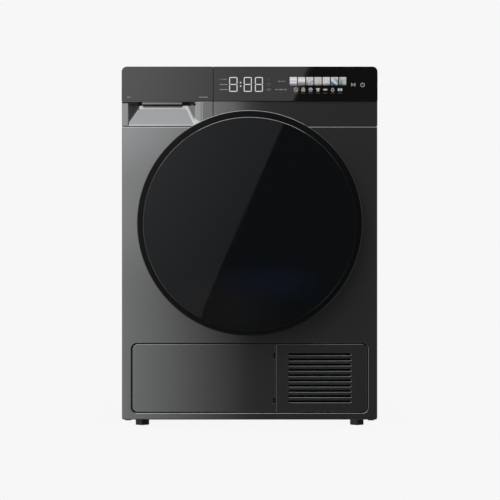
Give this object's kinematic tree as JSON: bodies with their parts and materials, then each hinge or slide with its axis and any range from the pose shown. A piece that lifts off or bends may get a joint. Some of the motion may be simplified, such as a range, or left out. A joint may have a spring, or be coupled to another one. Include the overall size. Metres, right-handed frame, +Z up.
{
  "type": "clothes dryer",
  "caption": "Free-standing heat pump clothes dryer with a large round smoked-glass door, water tank drawer, display fascia, service flap and cooling grille.",
  "frame": {"origin": "on the floor under the middle of the machine's box", "axes": "+Z up, front with the door towards -Y, +X to the right seen from the front"},
  "size_m": [0.6, 0.64, 0.845],
  "materials": {
    "steel_panel": "satin titanium-grey lacquer on steel sheet",
    "panel_plastic": "satin titanium-grey moulded plastic, matched to the panels",
    "fascia_glass": "gloss black glass-like fascia over a display",
    "door_ring_black": "semi-gloss black-grey moulded ring",
    "smoked_glass": "smoked, slightly blue toughened glass",
    "galvanised": "galvanised steel sheet",
    "stainless": "stainless steel drum sheet",
    "inner_plastic": "grey moulded plastic",
    "black_plastic": "black moulded plastic",
    "white_plastic": "white moulded plastic",
    "rubber_black": "black rubber",
    "rubber_grey": "grey seal rubber",
    "felt": "dense wool felt",
    "circuit_board": "circuit board laminate",
    "aluminium_fins": "bare aluminium fins",
    "copper": "bare copper tube",
    "lever_blue": "blue touch-point plastic",
    "black_lacquer": "black lacquered steel",
    "hose_clear": "clear soft hose"
  },
  "bodies": {
    "cabinet": {"base_tray": "inner_plastic", "base_cover": "galvanised", "left_side_panel": "steel_panel", "right_side_panel": "steel_panel", "rear_panel": "galvanised", "rear_duct_cover": "galvanised", "top_panel": "panel_plastic", "front_panel": "steel_panel", "control_frame": "panel_plastic", "display_glass": "fascia_glass", "display_board": "circuit_board", "tank_housing": "white_plastic", "vent_grille": "panel_plastic", "door_catch": "black_plastic", "hinge_bracket": "galvanised", "front_bulkhead": "inner_plastic", "door_seal": "rubber_grey", "drum_felts": "felt", "drum_bearing": "galvanised", "motor_housing": "galvanised", "blower_housing": "inner_plastic", "drum_belt": "rubber_black", "compressor": "black_lacquer", "evaporator": "aluminium_fins", "condenser": "aluminium_fins", "refrigerant_pipes": "copper", "exchanger_cover": "inner_plastic", "condensate_pump": "black_plastic", "pump_hose": "hose_clear", "power_board_box": "white_plastic", "mains_gland": "black_plastic", "cooling_fan_frame": "black_plastic", "cabinet_screws": "galvanised"},
    "door": {"door_ring": "door_ring_black", "door_glass": "smoked_glass", "door_inner_frame": "inner_plastic", "door_window": "smoked_glass", "door_hinge": "galvanised", "door_strike": "black_plastic"},
    "tank_drawer": {"tank_front": "panel_plastic", "water_tank": "white_plastic"},
    "flap": {"service_flap": "panel_plastic"},
    "lint_filter": {"filter_frame": "white_plastic", "filter_mesh": "white_plastic"},
    "drum": {"drum_shell": "stainless", "drum_back": "stainless", "drum_lifters": "inner_plastic"},
    "motor": {"motor_shaft": "galvanised", "process_fan": "black_plastic"},
    "left_roller": {"roller_left": "rubber_black"},
    "right_roller": {"roller_right": "rubber_black"},
    "belt_tensioner": {"tension_arm": "galvanised"},
    "idler": {"idler_pulley": "white_plastic"},
    "fan": {"cooling_fan": "black_plastic"},
    "left_lever": {"lever_left": "lever_blue"},
    "right_lever": {"lever_right": "lever_blue"},
    "front_left_foot": {"foot_front_left": "rubber_black"},
    "front_right_foot": {"foot_front_right": "rubber_black"},
    "rear_left_foot": {"foot_rear_left": "rubber_black"},
    "rear_right_foot": {"foot_rear_right": "rubber_black"}
  },
  "joints": [
    {"name": "door_swing", "type": "hinge", "parent": "cabinet", "child": "door", "pos_m": [0.24, -0.3095, 0.478], "axis": [0, 0, 1], "range_deg": [0, 130]},
    {"name": "tank_slide", "type": "slide", "parent": "cabinet", "child": "tank_drawer", "axis": [0, -1, 0], "range_m": [0, 0.38]},
    {"name": "flap_swing", "type": "hinge", "parent": "cabinet", "child": "flap", "pos_m": [0.0574, -0.2782, 0.1155], "axis": [0, 0, 1], "range_deg": [0, 95]},
    {"name": "filter_lift", "type": "slide", "parent": "cabinet", "child": "lint_filter", "axis": [0, 0, 1], "range_m": [0, 0.14]},
    {"name": "drum_spin", "type": "hinge", "parent": "cabinet", "child": "drum", "pos_m": [0, 0, 0.478], "axis": [0, 1, 0], "continuous": true},
    {"name": "motor_spin", "type": "hinge", "parent": "cabinet", "child": "motor", "pos_m": [-0.205, 0, 0.15], "axis": [0, 1, 0], "continuous": true},
    {"name": "roller_left_spin", "type": "hinge", "parent": "cabinet", "child": "left_roller", "pos_m": [-0.15265, 0, 0.2136], "axis": [0, 1, 0], "continuous": true},
    {"name": "roller_right_spin", "type": "hinge", "parent": "cabinet", "child": "right_roller", "pos_m": [0.15265, 0, 0.2136], "axis": [0, 1, 0], "continuous": true},
    {"name": "tensioner_swing", "type": "hinge", "parent": "cabinet", "child": "belt_tensioner", "pos_m": [-0.1, 0, 0.08], "axis": [0, 1, 0], "range_deg": [-8, 0], "stiffness_Nm_per_rad": 6, "springref_deg": 22.92},
    {"name": "idler_spin", "type": "hinge", "parent": "belt_tensioner", "child": "idler", "pos_m": [-0.15, 0, 0.144], "axis": [0, 1, 0], "continuous": true},
    {"name": "cooling_fan_spin", "type": "hinge", "parent": "cabinet", "child": "fan", "pos_m": [0.17, 0, 0.115], "axis": [0, 1, 0], "continuous": true},
    {"name": "lever_left_turn", "type": "hinge", "parent": "cabinet", "child": "left_lever", "pos_m": [-0.262, 0, 0.118], "axis": [0, 1, 0], "range_deg": [0, 90]},
    {"name": "lever_right_turn", "type": "hinge", "parent": "cabinet", "child": "right_lever", "pos_m": [0.045, 0, 0.118], "axis": [0, 1, 0], "range_deg": [-90, 0]},
    {"name": "foot_front_left_screw", "type": "slide", "parent": "cabinet", "child": "front_left_foot", "axis": [0, 0, -1], "range_m": [0, 0.012]},
    {"name": "foot_front_right_screw", "type": "slide", "parent": "cabinet", "child": "front_right_foot", "axis": [0, 0, -1], "range_m": [0, 0.012]},
    {"name": "foot_rear_left_screw", "type": "slide", "parent": "cabinet", "child": "rear_left_foot", "axis": [0, 0, -1], "range_m": [0, 0.012]},
    {"name": "foot_rear_right_screw", "type": "slide", "parent": "cabinet", "child": "rear_right_foot", "axis": [0, 0, -1], "range_m": [0, 0.012]}
  ],
  "couplings": [
    {"joint": "motor_spin", "follows": "drum_spin", "ratio": 27.311},
    {"joint": "idler_spin", "follows": "drum_spin", "ratio": -14.575},
    {"joint": "roller_left_spin", "follows": "drum_spin", "ratio": -11.2},
    {"joint": "roller_right_spin", "follows": "drum_spin", "ratio": -11.2}
  ]
}
